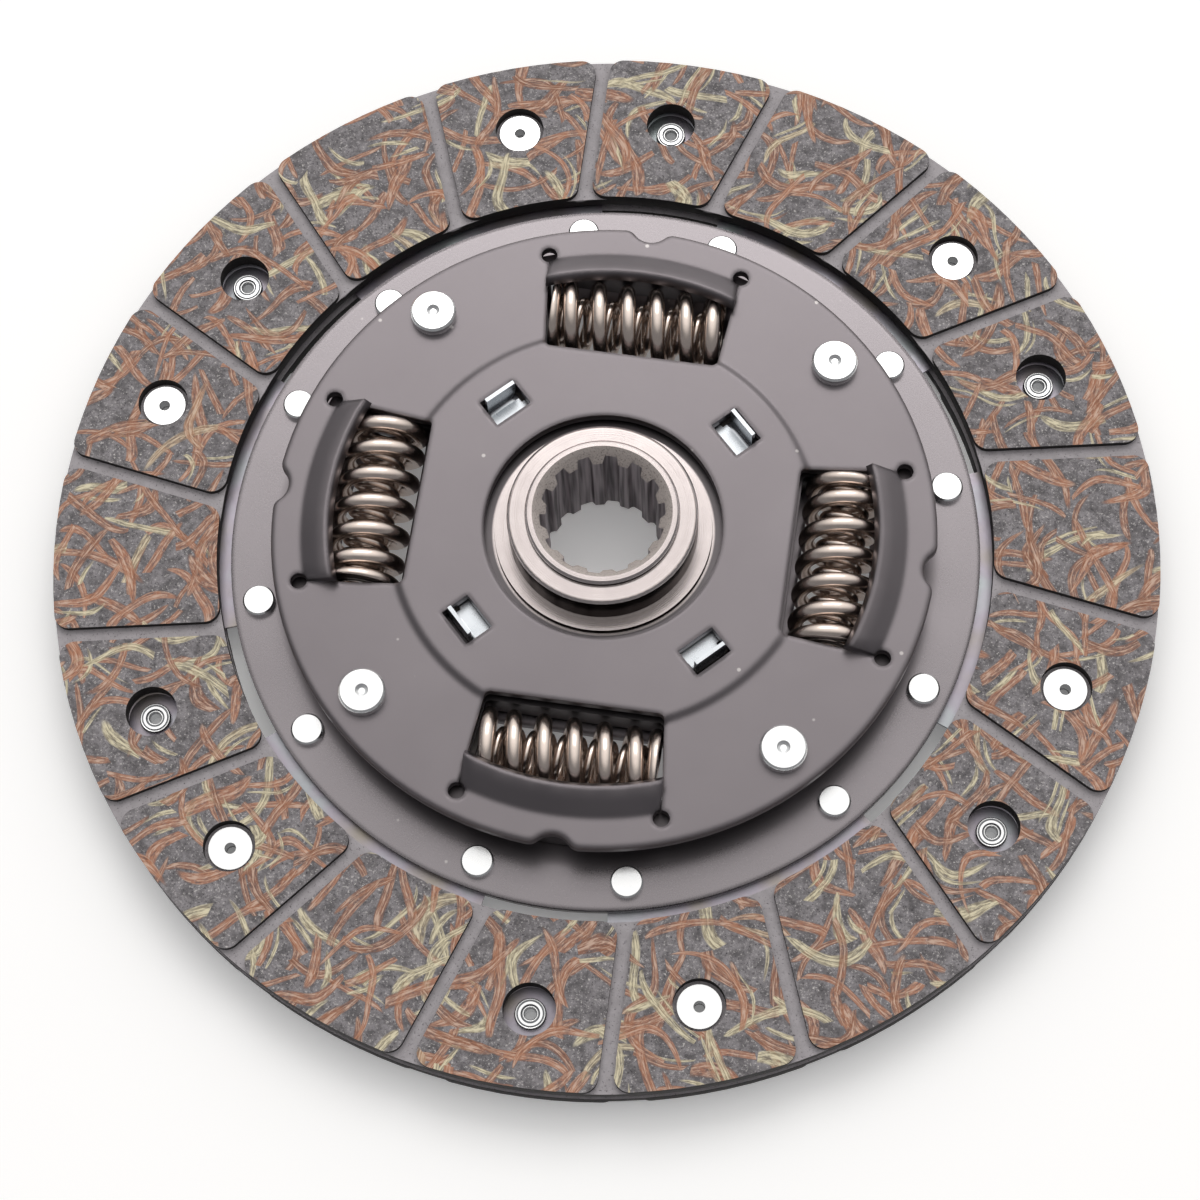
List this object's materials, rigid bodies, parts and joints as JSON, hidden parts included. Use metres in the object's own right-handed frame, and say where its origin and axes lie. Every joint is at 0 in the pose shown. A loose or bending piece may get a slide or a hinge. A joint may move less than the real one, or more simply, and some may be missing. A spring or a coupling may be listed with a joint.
{
  "type": "clutch disc",
  "caption": "Dry friction disc with riveted facings on spring segments, nested damper springs between two riveted side plates, and a splined hub.",
  "frame": {"origin": "on the disc's axis, half way between the two friction faces", "axes": "+Z along the disc's axis, towards the retainer plate and the long end of the hub; +X and +Y through the middles of two damper springs"},
  "size_m": [0.215, 0.215, 0.0252],
  "materials": {
    "friction_facing": "matte moulded fibre compound",
    "zinc_rivets": "bright zinc",
    "cushion_steel": "rolled spring steel",
    "plate_rivets": "satin steel",
    "plate_steel": "dark satin steel",
    "turned_steel": "turned steel",
    "spring_steel": "oiled black spring steel",
    "washer_compound": "matte friction compound",
    "ring_steel": "satin steel"
  },
  "bodies": {
    "disc": {"front_facing": "friction_facing", "rear_facing": "friction_facing", "front_facing_rivets": "zinc_rivets", "rear_facing_rivets": "zinc_rivets", "segment_rivets": "plate_rivets", "disc_plate": "plate_steel", "retainer_plate": "plate_steel", "stop_rivets": "plate_rivets", "front_friction_washer": "washer_compound", "rear_friction_washer": "washer_compound", "pressure_ring": "ring_steel", "spring_washer": "ring_steel", "guide_ring": "turned_steel", "cushion_segment_1": "cushion_steel", "cushion_segment_2": "cushion_steel", "cushion_segment_3": "cushion_steel", "cushion_segment_4": "cushion_steel", "cushion_segment_5": "cushion_steel", "cushion_segment_6": "cushion_steel"},
    "hub": {"hub": "turned_steel"},
    "damper_springs": {"damper_spring_1": "spring_steel", "damper_spring_2": "spring_steel", "damper_spring_3": "spring_steel", "damper_spring_4": "spring_steel", "inner_spring_1": "spring_steel", "inner_spring_2": "spring_steel", "inner_spring_3": "spring_steel", "inner_spring_4": "spring_steel"}
  },
  "joints": [
    {"name": "hub_turn", "type": "hinge", "parent": "disc", "child": "hub", "pos_m": [0, 0, 0], "axis": [0, 0, 1], "range_deg": [-7, 7], "stiffness_Nm_per_rad": 900, "deforming": ["damper_spring_1", "damper_spring_2", "damper_spring_3", "damper_spring_4", "inner_spring_1", "inner_spring_2", "inner_spring_3", "inner_spring_4"]},
    {"name": "springs_turn", "type": "hinge", "parent": "disc", "child": "damper_springs", "pos_m": [0, 0, 0], "axis": [0, 0, 1], "range_deg": [-3.5, 3.5]}
  ],
  "couplings": [
    {"joint": "springs_turn", "follows": "hub_turn", "ratio": 0.5}
  ]
}
